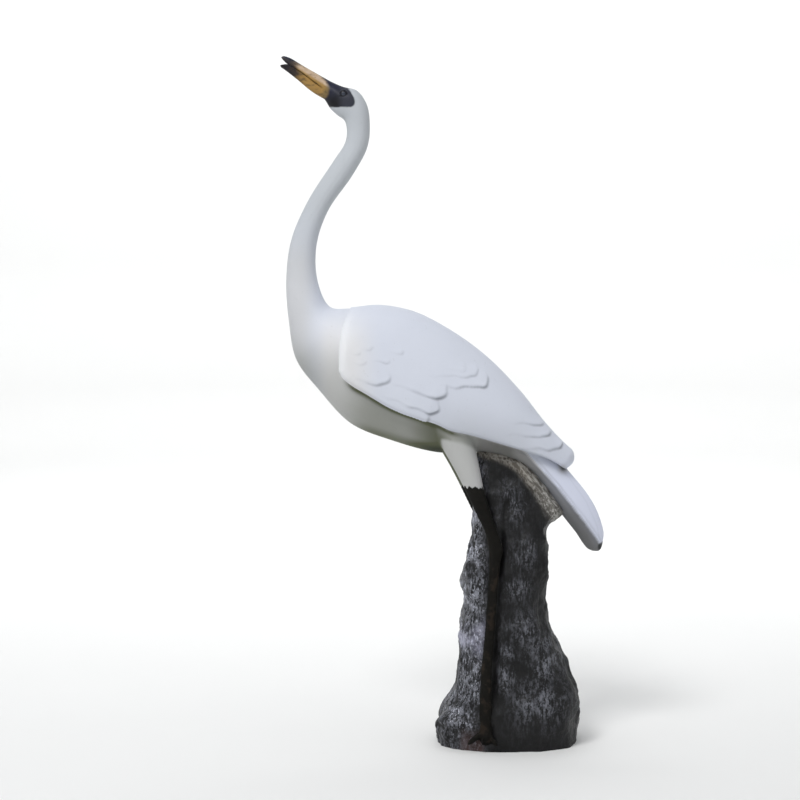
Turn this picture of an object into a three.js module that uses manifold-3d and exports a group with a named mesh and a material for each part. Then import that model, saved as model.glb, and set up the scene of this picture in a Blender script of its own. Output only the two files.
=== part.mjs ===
// A garden statue of a crane with its head raised, cast as one and painted, standing against a
// craggy rock pillar. Millimetres, +Z up. The bird looks along -X, its left side faces -Y, and the
// origin is at the middle of the stand's flat underside.

import * as THREE from "three";
import { mergeVertices } from "three/addons/utils/BufferGeometryUtils.js";
import Module from "manifold-3d";

const wasm = await Module();
wasm.setup();

// Driving dimensions
const contactGap = 0.5;
const wingThickness = 10;
const wingSpread = 6;
const wingFadeSections = 3;
const coverRise = 4.5;
const longCoverRise = 5.5;
const flightRise = 4.5;
const featherSink = 3;
const featherEdgeSink = 1.5;
const featherBluntness = 0.65;
const featherSlope = 1.3;
const eyePlace = [-289, -18, 1134];
const eyeRadius = 7.5;
const eyeBulge = 4;
const cragDepth = 4.5;
const wellOutside = 400;
const weldDistance = 1e-3;
const poleShare = 1e-6;

// The trunk runs from the face, down the neck and along the body to the rump. Each section has a
// point on the nape or back, a point on the throat or belly, as [x, z], and half its width.
const trunkSections = [
  { back: [-334, 1167], front: [-337, 1142], half: 8 },
  { back: [-314, 1158], front: [-323, 1127], half: 13 },
  { back: [-291, 1148], front: [-312, 1110], half: 19 },
  { back: [-266, 1141], front: [-299, 1098], half: 23 },
  { back: [-249, 1117], front: [-288, 1090], half: 23 },
  { back: [-244, 1085], front: [-284, 1073], half: 21 },
  { back: [-248, 1045], front: [-287, 1052], half: 20 },
  { back: [-274, 996], front: [-306, 1022], half: 20 },
  { back: [-317, 934], front: [-351, 953], half: 20 },
  { back: [-337, 874], front: [-381, 884], half: 22 },
  { back: [-335, 812], front: [-390, 815], half: 27 },
  { back: [-314, 768], front: [-386, 745], half: 38 },
  { back: [-280, 765], front: [-373, 676], half: 56 },
  { back: [-232, 766], front: [-333, 622], half: 70 },
  { back: [-174, 752], front: [-278, 564], half: 75 },
  { back: [-110, 720], front: [-206, 534], half: 75 },
  { back: [-44, 672], front: [-125, 513], half: 68 },
  { back: [14, 612], front: [-50, 502], half: 56 },
  { back: [60, 554], front: [20, 486], half: 39 },
  { back: [92, 512], front: [76, 478], half: 24 },
];
const firstWingSection = 11;
const wingEndSections = [
  { back: [104, 523], front: [70, 472], half: 34 },
  { back: [121, 511], front: [104, 482], half: 22 },
];
const trunkEdge = 0.42;
const wingEdge = 0.55;

// The tail is a folded blade, widest low down, where its side feathers make an edge.
const tailSections = [
  { back: [-24, 596], front: [-60, 518], half: 40 },
  { back: [36, 552], front: [-3, 496], half: 40 },
  { back: [76, 516], front: [30, 478], half: 38 },
  { back: [103, 482], front: [60, 447], half: 35 },
  { back: [133, 446], front: [93, 402], half: 32 },
  { back: [152, 416], front: [121, 369], half: 27 },
  { back: [165, 381], front: [141, 344], half: 20 },
  { back: [167, 350], front: [155, 336], half: 11 },
];
const tailEdge = 0.7;
const tailFullness = 1.5;

// The two halves of the beak, open a little at the tip.
const upperBeakSections = [
  { back: [-298, 1149], front: [-308, 1132], half: 12 },
  { back: [-328, 1166], front: [-336, 1152], half: 10.5 },
  { back: [-358, 1183], front: [-364, 1173], half: 7.5 },
  { back: [-382, 1197], front: [-387, 1187], half: 4.5 },
  { back: [-395, 1201], front: [-397, 1197], half: 2 },
];
const lowerBeakSections = [
  { back: [-301, 1132], front: [-309, 1119], half: 11 },
  { back: [-336, 1153], front: [-343, 1138.5], half: 9.5 },
  { back: [-363, 1173], front: [-370, 1160.5], half: 7 },
  { back: [-386, 1186], front: [-390, 1176], half: 4 },
  { back: [-398, 1185], front: [-399, 1182], half: 2 },
];

// The leg, from the thigh inside the body to the foot: middle as [x, y, z] and radius.
const legSections = [
  { at: [-112, 34, 600], radius: 40 },
  { at: [-100, 37, 552], radius: 34 },
  { at: [-88, 39, 520], radius: 28 },
  { at: [-75, 43, 487], radius: 22 },
  { at: [-64, 46, 456], radius: 17 },
  { at: [-47, 53, 412], radius: 13 },
  { at: [-33, 57, 378], radius: 11 },
  { at: [-26, 59, 350], radius: 12.5 },
  { at: [-28, 61, 325], radius: 9.5 },
  { at: [-35, 66, 218], radius: 8.7 },
  { at: [-42, 73, 132], radius: 9.5 },
  { at: [-43, 80, 50], radius: 12 },
  { at: [-42, 82, 6], radius: 14 },
];
const farLegForward = 8;
const ankle = [-43, 80, 36];
const toeTips = [[-76, 92, 14], [-52, 103, 11], [-22, 101, 12]];
const toeRadius = 9;
const toeTipRadius = 4.5;

// The front edge and lower edge of the folded wing, seen from the side, as [x, z].
const wingFrontEdge = [[-262, 790], [-288, 748], [-294, 705], [-294, 662]];
const wingLowerEdge = [[-285, 645], [-250, 623], [-207, 597], [-158, 579], [-130, 570],
  [-104, 558], [-45, 547], [13, 525], [58, 509], [84, 495]];
const wingTip = [[99, 484], [150, 470]];

// Feathers that stand proud of the wing, each from its root to its tip, as [x, z], with half its
// width and its rise at the tip.
const feathers = [
  { root: [-278, 698], tip: [-217, 689], half: 12, rise: flightRise },
  { root: [-284, 668], tip: [-209, 652], half: 17, rise: coverRise },
  { root: [-236, 706], tip: [-180, 700], half: 12, rise: flightRise },
  { root: [-232, 670], tip: [-112, 624], half: 17, rise: longCoverRise },
  { root: [-262, 650], tip: [-127, 602], half: 15, rise: coverRise },
  { root: [-278, 636], tip: [-142, 584], half: 14, rise: coverRise },
  { root: [-150, 674], tip: [-80, 670], half: 10, rise: flightRise },
  { root: [-176, 664], tip: [-57, 662], half: 12, rise: flightRise },
  { root: [-176, 648], tip: [-37, 647], half: 15, rise: flightRise },
  { root: [-30, 584], tip: [46, 569], half: 8, rise: flightRise },
  { root: [-30, 564], tip: [62, 549], half: 9, rise: flightRise },
  { root: [-30, 544], tip: [82, 529], half: 10, rise: flightRise },
];

// The rock pillar from below its underside up to where it goes into the bird: the right and left
// edge of each section, as [x, z], and how deep it is to each side. Its top slopes with the tail.
const rockSections = [
  { back: [120, -30], front: [-122, -30], half: 92 },
  { back: [125, 30], front: [-127, 30], half: 94 },
  { back: [124, 68], front: [-113, 68], half: 88 },
  { back: [118, 104], front: [-94, 104], half: 80 },
  { back: [100, 150], front: [-90, 150], half: 72 },
  { back: [74, 205], front: [-89, 205], half: 66 },
  { back: [66, 250], front: [-81, 250], half: 62 },
  { back: [67, 295], front: [-84, 295], half: 61 },
  { back: [71, 335], front: [-74, 335], half: 58 },
  { back: [75, 378], front: [-67, 385], half: 55 },
  { back: [96, 407], front: [-66, 440], half: 51 },
  { back: [78, 436], front: [-66, 488], half: 46 },
  { back: [46, 480], front: [-54, 516], half: 36 },
  { back: [20, 508], front: [-40, 530], half: 22 },
];
const boulders = [
  { at: [-86, -36, 34], size: [42, 46, 36], turn: 0.4 },
  { at: [80, -34, 76], size: [44, 46, 54], turn: 1.1 },
  { at: [28, -58, 50], size: [50, 36, 60], turn: 0.2 },
  { at: [66, 44, 64], size: [54, 44, 66], turn: 0.7 },
  { at: [-84, 30, 38], size: [40, 38, 40], turn: 2.1 },
  { at: [-48, -18, 290], size: [36, 42, 54], turn: 0.9 },
  { at: [30, -24, 330], size: [38, 36, 90], turn: 0.3 },
];
// Waves whose folded sum gives the rock its crags: direction with wavelength, and share.
const cragWaves = [
  { along: new THREE.Vector3(0.9, 0.5, 0.25), length: 62, share: 1 },
  { along: new THREE.Vector3(-0.3, 0.7, 0.9), length: 47, share: 0.8 },
  { along: new THREE.Vector3(0.6, -0.9, 0.5), length: 29, share: 0.5 },
];

// Merged geometry with shared vertices, pushed out along its normals by a distance.
function welded(geometry, grow = 0) {
  const bare = geometry.clone();
  bare.deleteAttribute("normal");
  bare.deleteAttribute("uv");
  const merged = mergeVertices(bare, weldDistance);
  if (grow > 0) {
    merged.computeVertexNormals();
    const { position, normal } = merged.attributes;
    for (let i = 0; i < position.count; i++) {
      const point = new THREE.Vector3().fromBufferAttribute(position, i);
      point.addScaledVector(new THREE.Vector3().fromBufferAttribute(normal, i), grow);
      position.setXYZ(i, point.x, point.y, point.z);
    }
  }
  return merged;
}

function solidFrom(geometry, grow = 0) {
  const merged = welded(geometry, grow);
  return new wasm.Manifold(new wasm.Mesh({
    numProp: 3,
    vertProperties: new Float32Array(merged.attributes.position.array),
    triVerts: new Uint32Array(merged.index.array),
  }));
}

function geometryFrom(solid) {
  const { vertProperties, triVerts } = solid.getMesh();
  const geometry = new THREE.BufferGeometry();
  geometry.setAttribute("position", new THREE.BufferAttribute(vertProperties, 3));
  geometry.setIndex(new THREE.BufferAttribute(triVerts, 1));
  return geometry;
}

function turnInsideOut(geometry) {
  const index = geometry.index;
  for (let i = 0; i < index.count; i += 3) {
    const first = index.getX(i);
    index.setX(i, index.getX(i + 1));
    index.setX(i + 1, first);
  }
  return geometry;
}

function mirrored(geometry) {
  return turnInsideOut(geometry.clone().applyMatrix4(new THREE.Matrix4().makeScale(1, -1, 1)));
}

const joined = (solids) => solids.reduce((whole, solid) => whole.add(solid));

const power = (value, exponent) => Math.sign(value) * Math.abs(value) ** exponent;

// A round end: the share of the full section at a distance from the pole, in shares of the loft.
const rounding = (distance, length) => (
  distance < length ? Math.sqrt(1 - (1 - distance / length) ** 2) : 1
);

// A closed form through the sections, made from a sphere whose rings become the sections. The edge
// is where along a section, from back to front, it is widest, fullness 2 makes it an ellipse, and
// ease, from 0 to 1, draws the rings towards the two ends.
function loft(sections, shape) {
  const { around, along, startCap, endCap, edge = 0.5, fullness = 2, ease = 0 } = shape;
  const curve = (pick) => new THREE.CatmullRomCurve3(sections.map(pick), false, "centripetal");
  const backs = curve(({ back }) => new THREE.Vector3(back[0], 0, back[1]));
  const fronts = curve(({ front }) => new THREE.Vector3(front[0], 0, front[1]));
  const sides = curve(({ half, side = 0 }, i) => new THREE.Vector3(half, side, i));
  const geometry = new THREE.SphereGeometry(1, around, along);
  const position = geometry.attributes.position;
  for (let i = 0; i < position.count; i++) {
    const turn = Math.acos(THREE.MathUtils.clamp(position.getY(i), -1, 1));
    const step = (turn - ease * Math.sin(2 * turn) / 2) / Math.PI;
    const ring = Math.hypot(position.getX(i), position.getZ(i)) || 1;
    const toBack = power(position.getX(i) / ring, 2 / fullness);
    const toSide = power(position.getZ(i) / ring, 2 / fullness);
    const onPole = Math.min(step, 1 - step) < poleShare;
    const round = onPole ? 0 : rounding(step, startCap) * rounding(1 - step, endCap);
    const back = backs.getPoint(step);
    const front = fronts.getPoint(step);
    const { x: half, y: side } = sides.getPoint(step);
    const heart = back.clone().lerp(front, edge);
    const reach = (toBack > 0 ? back : front).clone().sub(heart);
    const point = heart.addScaledVector(reach, Math.abs(toBack) * round);
    position.setXYZ(i, point.x, side + toSide * half * round, point.z);
  }
  return facingOut(geometry);
}

function signedVolume(geometry) {
  const { position } = geometry.attributes;
  const corner = (i) => new THREE.Vector3().fromBufferAttribute(position, geometry.index.getX(i));
  let volume = 0;
  for (let i = 0; i < geometry.index.count; i += 3) {
    volume += corner(i).dot(corner(i + 1).cross(corner(i + 2))) / 6;
  }
  return volume;
}

function facingOut(geometry) {
  return signedVolume(geometry) < 0 ? turnInsideOut(geometry) : geometry;
}

// A section of the trunk, made larger along its height and across.
function thicker({ back, front, half }, inHeight, across) {
  const out = new THREE.Vector2(back[0] - front[0], back[1] - front[1]).setLength(inHeight);
  return {
    back: [back[0] + out.x, back[1] + out.y],
    front: [front[0] - out.x, front[1] - out.y],
    half: half + across,
  };
}

const trunk = loft(trunkSections, {
  around: 18, along: 38, startCap: 0.04, endCap: 0.06, edge: trunkEdge,
});

const tail = loft(tailSections, {
  around: 12, along: 12, startCap: 0.1, endCap: 0.12, edge: tailEdge, fullness: tailFullness,
  ease: 0.4,
});

// Both folded wings: a skin over the back and sides of the body, cut to the wing's outline.
// Over the shoulders it thins out to nothing, where it meets the neck.
const skinSections = [
  ...trunkSections.slice(firstWingSection, -1).map((section, i) => (
    thicker(
      section,
      wingThickness * Math.min(1, i / wingFadeSections),
      wingThickness + wingSpread,
    )
  )),
  ...wingEndSections,
];
const wingSkin = loft(skinSections, {
  around: 20, along: 17, startCap: 0.05, endCap: 0.09, edge: wingEdge, ease: 0.6,
});

function wingOutline() {
  const vectors = (points) => points.map(([x, z]) => new THREE.Vector2(x, z));
  const outline = new THREE.Shape();
  outline.moveTo(wellOutside, wellOutside * 2);
  outline.lineTo(...wingFrontEdge[0]);
  outline.splineThru(vectors(wingFrontEdge.slice(1)));
  outline.splineThru(vectors(wingLowerEdge));
  outline.splineThru(vectors(wingTip));
  outline.closePath();
  return outline;
}

function wings(grow) {
  const cutter = new THREE.ExtrudeGeometry(wingOutline(), {
    depth: wellOutside, bevelEnabled: false, curveSegments: 2,
  });
  cutter.translate(0, 0, -wellOutside / 2).rotateX(Math.PI / 2);
  return solidFrom(wingSkin, grow).intersect(solidFrom(cutter, grow));
}

// The place and the outward direction of the near side of the wing, at a place seen from the side.
const skinMesh = new THREE.Mesh(wingSkin, new THREE.MeshStandardMaterial({ side: THREE.DoubleSide }));
const lookAcross = new THREE.Vector3(0, 1, 0);
function skinAt({ x, y: z }) {
  const ray = new THREE.Raycaster(new THREE.Vector3(x, -wellOutside, z), lookAcross);
  const hits = ray.intersectObject(skinMesh);
  return hits.length ? { place: hits[0].point, outward: hits[0].face.normal } : null;
}

// The skin nearest to the wanted place, found by going towards a place well inside.
function nearestSkin(wanted, inside) {
  const shares = [0, 0.2, 0.4, 0.6, 0.8, 1];
  const places = shares.map((share) => wanted.clone().lerp(inside, share));
  return skinAt(places.find((place) => skinAt(place) !== null));
}

// A feather lies on the skin: sunk into it at the root, and standing proud at its round tip.
function feather({ root, tip, half, rise }) {
  const geometry = new THREE.SphereGeometry(1, 8, 6);
  const position = geometry.attributes.position;
  const rootPoint = new THREE.Vector2(...root);
  const shaft = new THREE.Vector2(...tip).sub(rootPoint);
  const across = new THREE.Vector2(-shaft.y, shaft.x).normalize();
  for (let i = 0; i < position.count; i++) {
    const along = (1 - power(position.getY(i), featherBluntness)) / 2;
    const onShaft = rootPoint.clone().addScaledVector(shaft, along);
    const wanted = onShaft.clone().addScaledVector(across, position.getX(i) * half);
    const { place, outward } = nearestSkin(wanted, onShaft);
    const out = position.getZ(i);
    const domed = Math.sqrt(Math.max(out, 0)) * (rise + featherEdgeSink) * along ** featherSlope;
    const sunk = Math.min(out, 0) * featherSink;
    const point = place.clone().addScaledVector(outward, domed + sunk - featherEdgeSink);
    position.setXYZ(i, point.x, point.y, point.z);
  }
  return facingOut(geometry);
}

function leg(forward) {
  const sections = legSections.map(({ at: [x, y, z], radius }) => ({
    back: [x + radius - forward, z],
    front: [x - radius - forward, z],
    half: radius,
    side: -y,
  }));
  return loft(sections, { around: 8, along: 18, startCap: 0.04, endCap: 0.05 });
}

function toe(tip, forward) {
  const knuckle = (share) => {
    const [x, y, z] = ankle.map((start, i) => THREE.MathUtils.lerp(start, tip[i], share));
    const radius = THREE.MathUtils.lerp(toeRadius, toeTipRadius, share);
    return { back: [x - forward, z + radius], front: [x - forward, z - radius], half: radius, side: -y };
  };
  return loft([knuckle(0), knuckle(0.5), knuckle(1)], {
    around: 8, along: 5, startCap: 0.2, endCap: 0.2,
  });
}

const beakShape = { around: 10, along: 9, startCap: 0.1, endCap: 0.08 };
const upperBeak = loft(upperBeakSections, { ...beakShape, edge: 0.85 });
const lowerBeak = loft(lowerBeakSections, { ...beakShape, edge: 0.15 });

function eye() {
  const geometry = new THREE.SphereGeometry(eyeRadius, 10, 6).rotateX(Math.PI / 2);
  geometry.scale(1, eyeBulge / eyeRadius, 1);
  return geometry.translate(...eyePlace);
}

function craneSolid(grow) {
  const nearSide = [leg(0), eye(), ...feathers.map(feather), ...toeTips.map((tip) => toe(tip, 0))];
  const farSide = [
    leg(farLegForward), eye(), ...feathers.map(feather),
    ...toeTips.map((tip) => toe(tip, farLegForward)),
  ].map(mirrored);
  const forms = [trunk, tail, upperBeak, lowerBeak, ...nearSide, ...farSide];
  return joined([...forms.map((form) => solidFrom(form, grow)), wings(grow)]);
}

// The sum of folded waves at a point, from -1 to 1.
function crag(point) {
  const total = cragWaves.reduce((sum, { share }) => sum + share, 0);
  const sum = cragWaves.reduce((height, { along, length, share }) => {
    const phase = point.dot(along) / length * Math.PI;
    return height + share * (1 - 2 * Math.abs(Math.sin(phase)));
  }, 0);
  return sum / total;
}

function withCrags(geometry) {
  const position = geometry.attributes.position;
  for (let i = 0; i < position.count; i++) {
    const point = new THREE.Vector3().fromBufferAttribute(position, i);
    const outward = new THREE.Vector3(point.x, point.y, 0).normalize();
    point.addScaledVector(outward, crag(point) * cragDepth);
    position.setXYZ(i, point.x, point.y, point.z);
  }
  return geometry;
}

function boulder({ at, size, turn }) {
  const geometry = new THREE.IcosahedronGeometry(1, 1);
  return geometry.scale(...size).rotateZ(turn).translate(...at);
}

function rockSolid() {
  const pillar = loft(rockSections, {
    around: 20, along: 24, startCap: 0.02, endCap: 0.1, fullness: 2.5,
  });
  const below = new THREE.BoxGeometry(wellOutside * 2, wellOutside * 2, wellOutside);
  below.translate(0, 0, -wellOutside / 2);
  return joined([pillar, ...boulders.map(boulder)].map((form) => solidFrom(withCrags(form))))
    .subtract(solidFrom(below))
    .subtract(craneSolid(contactGap));
}

function namedMesh(name, solid, finish) {
  const mesh = new THREE.Mesh(geometryFrom(solid), new THREE.MeshStandardMaterial(finish));
  mesh.name = name;
  return mesh;
}

const statue = new THREE.Group();
statue.add(namedMesh("crane", craneSolid(0), { color: 0xd3d6de, roughness: 0.45, metalness: 0 }));
statue.add(namedMesh("rock_stand", rockSolid(), { color: 0x35353a, roughness: 0.4, metalness: 0 }));

export default statue;
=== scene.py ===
# %% [markdown]
# # A painted crane for the garden
#
# The real statue is a hollow casting: a slender white crane with its head raised, its black legs
# standing against a pillar of dark, glossy rock. The CAD frame already has its size and its main
# forms in flat faces. Here both pieces are made again with soft, cast surfaces and fine relief,
# and painted. Everything stays in metres and in the frame's own place: +Z is up, the bird looks
# along -X and turns its left side to -Y.

# %% Load the frame
import math
from collections import namedtuple

import bmesh
import bpy
import numpy as np
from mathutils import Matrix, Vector, noise


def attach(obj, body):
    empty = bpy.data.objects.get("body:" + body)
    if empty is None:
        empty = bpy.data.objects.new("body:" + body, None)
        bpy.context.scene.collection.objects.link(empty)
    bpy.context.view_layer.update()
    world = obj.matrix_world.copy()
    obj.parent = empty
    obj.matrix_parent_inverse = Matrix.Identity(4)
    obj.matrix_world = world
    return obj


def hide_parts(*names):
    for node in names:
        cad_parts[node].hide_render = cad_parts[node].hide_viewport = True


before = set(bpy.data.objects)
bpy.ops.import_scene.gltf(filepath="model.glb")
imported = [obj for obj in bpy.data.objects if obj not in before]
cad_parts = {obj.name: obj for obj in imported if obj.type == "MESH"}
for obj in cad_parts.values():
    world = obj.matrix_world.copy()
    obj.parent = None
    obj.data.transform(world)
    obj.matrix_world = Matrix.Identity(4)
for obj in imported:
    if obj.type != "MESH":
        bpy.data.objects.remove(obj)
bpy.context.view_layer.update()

# %% [markdown]
# ## The camera
#
# The photograph looks at the bird's left side, a little from above and from well back, so a long
# lens is right. The lens and height were worked out so that the flat frame lies on the
# photograph's outline.

# %% Set up the camera
camera_place = (-0.19198, -3.6, 0.95)
degrees_down = 5.476
lens = 93.0
camera = bpy.data.objects.new("camera", bpy.data.cameras.new("camera"))
camera.location = camera_place
camera.rotation_euler = (math.radians(90 - degrees_down), 0, 0)
camera.data.sensor_width = 36
camera.data.lens = lens
bpy.context.scene.collection.objects.link(camera)
bpy.context.scene.camera = camera
print("camera lens", camera.data.lens)

# %% [markdown]
# ## Drawing a form through sections
#
# A bird has hardly a flat place on it, but it is easy to measure from the side: for each station
# along the body there is a point on the back, a point on the belly, and a half width. A smooth
# curve through the backs, one through the bellies and one through the widths give every station
# between them. The measures are in millimetres, as they are taken with a rule.

# %% A smooth curve through points
MM = 0.001
Section = namedtuple("Section", "back front half side", defaults=[0])


def through(points, share):
    """The place at a share of the way along a smooth curve through the points."""
    last = len(points) - 1
    start = min(int(share * last), last - 1)
    t = share * last - start
    b, c = points[start], points[start + 1]
    a = points[start - 1] if start else 2 * b - c
    d = points[start + 2] if start + 2 <= last else 2 * c - b
    before, here, after = (math.sqrt((q - p).length) for p, q in ((a, b), (b, c), (c, d)))
    here = here or 1
    before, after = before or here, after or here
    leave = ((b - a) / before - (c - a) / (before + here) + (c - b) / here) * here
    arrive = ((c - b) / here - (d - b) / (here + after) + (d - c) / after) * here
    bend = -3 * b + 3 * c - 2 * leave - arrive
    settle = 2 * b - 2 * c + leave + arrive
    return b + leave * t + bend * t * t + settle * t * t * t


test_bend = [Vector((0, 0, 0)), Vector((10, 0, 0)), Vector((10, 0, 10))]
print("halfway round a bend", tuple(round(v, 2) for v in through(test_bend, 0.5)))

# %% [markdown]
# The form itself starts as a ball from `create_uvsphere`. Each ring of the ball is moved to its
# station and stretched to that station's size, so the form is closed at both ends from the start
# and needs no caps. `edge` says where a section is widest, `fullness` how square it is.

# %% A form through sections
def power(value, exponent):
    return math.copysign(abs(value) ** exponent, value)


def rounding(distance, length):
    return math.sqrt(1 - (1 - distance / length) ** 2) if distance < length else 1


def loft(bm, sections, around, along, caps, edge=0.5, fullness=2, ease=0):
    """Adds a closed form through the sections to the bmesh, and returns its vertices."""
    backs = [Vector((s.back[0], 0, s.back[1])) for s in sections]
    fronts = [Vector((s.front[0], 0, s.front[1])) for s in sections]
    widths = [Vector((s.half, s.side, i)) for i, s in enumerate(sections)]
    stations = {}

    def station(height):
        turn = math.acos(height)
        step = (turn - ease * math.sin(2 * turn) / 2) / math.pi
        size = rounding(step, caps[0]) * rounding(1 - step, caps[1])
        if min(step, 1 - step) < 1e-6:
            size = 0
        return through(backs, step), through(fronts, step), through(widths, step), size

    ball = bmesh.ops.create_uvsphere(bm, u_segments=around, v_segments=along, radius=1)["verts"]
    for vert in ball:
        x, y, height = vert.co
        height = max(-1, min(1, round(height, 5)))
        if height not in stations:
            stations[height] = station(height)
        back, front, width, size = stations[height]
        ring = math.hypot(x, y) or 1
        to_back = power(x / ring, 2 / fullness)
        to_side = power(y / ring, 2 / fullness)
        heart = back.lerp(front, edge)
        reach = (back if to_back > 0 else front) - heart
        place = heart + reach * abs(to_back) * size
        vert.co = Vector((place.x, width.y + to_side * width.x * size, place.z)) * MM
    return ball


def piece_from(bm, name):
    """A smooth piece with its faces turned outwards."""
    bmesh.ops.recalc_face_normals(bm, faces=bm.faces)
    mesh = bpy.data.meshes.new(name)
    bm.to_mesh(mesh)
    bm.free()
    mesh.shade_smooth()
    piece = bpy.data.objects.new(name, mesh)
    bpy.context.scene.collection.objects.link(piece)
    return piece


# %% [markdown]
# ## One skin over many forms
#
# A casting has one skin: where the leg leaves the belly there is a soft hollow, not a knife edge.
# Forms that overlap are melted together by a voxel Remesh, and a few rounds of smoothing take
# away the marks of the voxels. The size of the voxel is a trade: smaller keeps finer edges and
# costs triangles.

# %% Melt, smooth and bake
def baked(piece):
    """Makes the piece's modifiers part of its mesh."""
    graph = bpy.context.evaluated_depsgraph_get()
    mesh = bpy.data.meshes.new_from_object(piece.evaluated_get(graph))
    old = piece.data
    piece.modifiers.clear()
    piece.data = mesh
    mesh.name = piece.name
    bpy.data.meshes.remove(old)
    mesh.shade_smooth()
    return piece


def melted(piece, voxel, rounds):
    skin = piece.modifiers.new("one skin", "REMESH")
    skin.mode = "VOXEL"
    skin.voxel_size = voxel
    soften = piece.modifiers.new("soften", "SMOOTH")
    soften.iterations = rounds
    baked(piece)
    print(piece.name, "has", sum(len(f.vertices) - 2 for f in piece.data.polygons), "triangles")
    return piece


# %% [markdown]
# ## The body
#
# The trunk runs from the face down the neck and along the body to the rump. The tail is a folded
# blade, widest low down, where its side feathers make an edge. The legs start well inside the
# body as thighs and end in three toes each, and the far leg stands a little ahead.

# %% Body measures
trunk_sections = [
    Section((-334, 1167), (-337, 1142), 8),
    Section((-314, 1158), (-323, 1127), 13),
    Section((-291, 1148), (-312, 1110), 19),
    Section((-266, 1141), (-299, 1098), 23),
    Section((-249, 1117), (-288, 1090), 23),
    Section((-244, 1085), (-284, 1073), 21),
    Section((-248, 1045), (-287, 1052), 20),
    Section((-274, 996), (-306, 1022), 20),
    Section((-317, 934), (-351, 953), 20),
    Section((-337, 874), (-381, 884), 22),
    Section((-335, 812), (-390, 815), 27),
    Section((-314, 768), (-386, 745), 38),
    Section((-280, 765), (-373, 676), 56),
    Section((-232, 766), (-333, 622), 70),
    Section((-174, 752), (-278, 564), 75),
    Section((-110, 720), (-206, 534), 75),
    Section((-44, 672), (-125, 513), 68),
    Section((14, 612), (-52, 513), 56),
    Section((60, 554), (18, 491), 39),
    Section((92, 512), (76, 478), 24),
]
tail_sections = [
    Section((-24, 596), (-60, 518), 40),
    Section((36, 552), (-3, 496), 40),
    Section((76, 516), (30, 478), 38),
    Section((103, 482), (60, 448), 35),
    Section((133, 446), (92, 403), 32),
    Section((152, 416), (117, 371), 27),
    Section((165, 381), (136, 344), 20),
    Section((170, 349), (154, 332), 12),
]
leg_stations = [
    ((-112, 34, 600), 40), ((-100, 37, 552), 34), ((-88, 39, 520), 28), ((-75, 43, 487), 22),
    ((-64, 46, 456), 17), ((-47, 53, 412), 13), ((-33, 57, 378), 11), ((-26, 59, 350), 12.5),
    ((-28, 61, 325), 9.5), ((-35, 66, 218), 8.7), ((-42, 73, 132), 9.5), ((-43, 80, 50), 12),
    ((-42, 82, 6), 14),
]
ankle = (-43, 80, 36)
toe_tips = [(-76, 92, 14), (-52, 103, 11), (-22, 101, 12)]
toe_radii = [(0, 9), (0.5, 6.8), (1, 4.5)]
far_leg_forward = 8
print(len(trunk_sections), "trunk sections and", len(leg_stations), "leg stations")

# %% Cast the body
def round_section(x, y, z, radius):
    return Section((x + radius, z), (x - radius, z), radius, y)


def standing_section(x, y, z, radius):
    return Section((x, z + radius), (x, z - radius), radius, y)


def add_leg(bm, side, forward):
    stations = [round_section(x - forward, side * y, z, r) for (x, y, z), r in leg_stations]
    loft(bm, stations, around=32, along=120, caps=(0.04, 0.05))
    for tip in toe_tips:
        knuckles = []
        for share, radius in toe_radii:
            x, y, z = (a + (b - a) * share for a, b in zip(ankle, tip))
            knuckles.append(standing_section(x - forward, side * y, z, radius))
        loft(bm, knuckles, around=20, along=16, caps=(0.2, 0.2))


bm = bmesh.new()
loft(bm, trunk_sections, around=72, along=180, caps=(0.04, 0.06), edge=0.42)
loft(bm, tail_sections, 64, 60, caps=(0.1, 0.12), edge=0.6, fullness=1.4, ease=0.4)
add_leg(bm, -1, 0)
add_leg(bm, 1, far_leg_forward)
body = melted(piece_from(bm, "body"), voxel=0.00245, rounds=3)

# %% [markdown]
# ## The wings
#
# The folded wings lie over the back like a saddle, with a rolled edge in front and below. They
# stand 10 mm over the back, and 6 mm more over the sides, where folded feathers are thick. The
# saddle is a second, larger skin over the same sections, cut from the side with the wing's
# outline. A Boolean does the cut, because it keeps the outline exact.

# %% Wing measures
wing_thickness, wing_spread = 10, 6
wing_front_edge = [(-262, 790), (-288, 748), (-296, 705), (-297, 661)]
wing_lower_edge = [
    (-297, 661), (-291, 649), (-273, 635), (-250, 622), (-207, 597), (-158, 579), (-130, 570),
    (-104, 558), (-75, 551.5), (-45, 542.5), (-15, 533), (13, 524), (58, 509), (84, 495),
]
wing_tip = [(84, 495), (99, 484), (150, 470)]
well_outside = 400


def thicker(section, in_height, across):
    out = Vector(section.back) - Vector(section.front)
    out = out.normalized() * in_height
    back = Vector(section.back) + out
    front = Vector(section.front) - out
    return Section(tuple(back), tuple(front), section.half + across)


saddle_sections = [
    thicker(section, wing_thickness * min(1, i / 3), wing_thickness + wing_spread)
    for i, section in enumerate(trunk_sections[11:-1])
]
saddle_sections += [
    Section((104, 523), (70, 472), 34),
    Section((121, 511), (104, 482), 22),
]


def traced(edge, steps):
    """Points along a smooth curve through an edge seen from the side."""
    points = [Vector((x, 0, z)) for x, z in edge]
    count = steps * (len(edge) - 1)
    return [through(points, i / count) for i in range(count + 1)]


wing_outline = (
    traced(wing_front_edge, 6) + traced(wing_lower_edge, 5)[1:] + traced(wing_tip, 5)[1:]
)
print("the wing's outline has", len(wing_outline), "points")

# %% Cut the saddle to the outline
bm = bmesh.new()
loft(bm, saddle_sections, 120, 140, caps=(0.05, 0.09), edge=0.55, ease=0.6)
wings = piece_from(bm, "wings")

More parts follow.
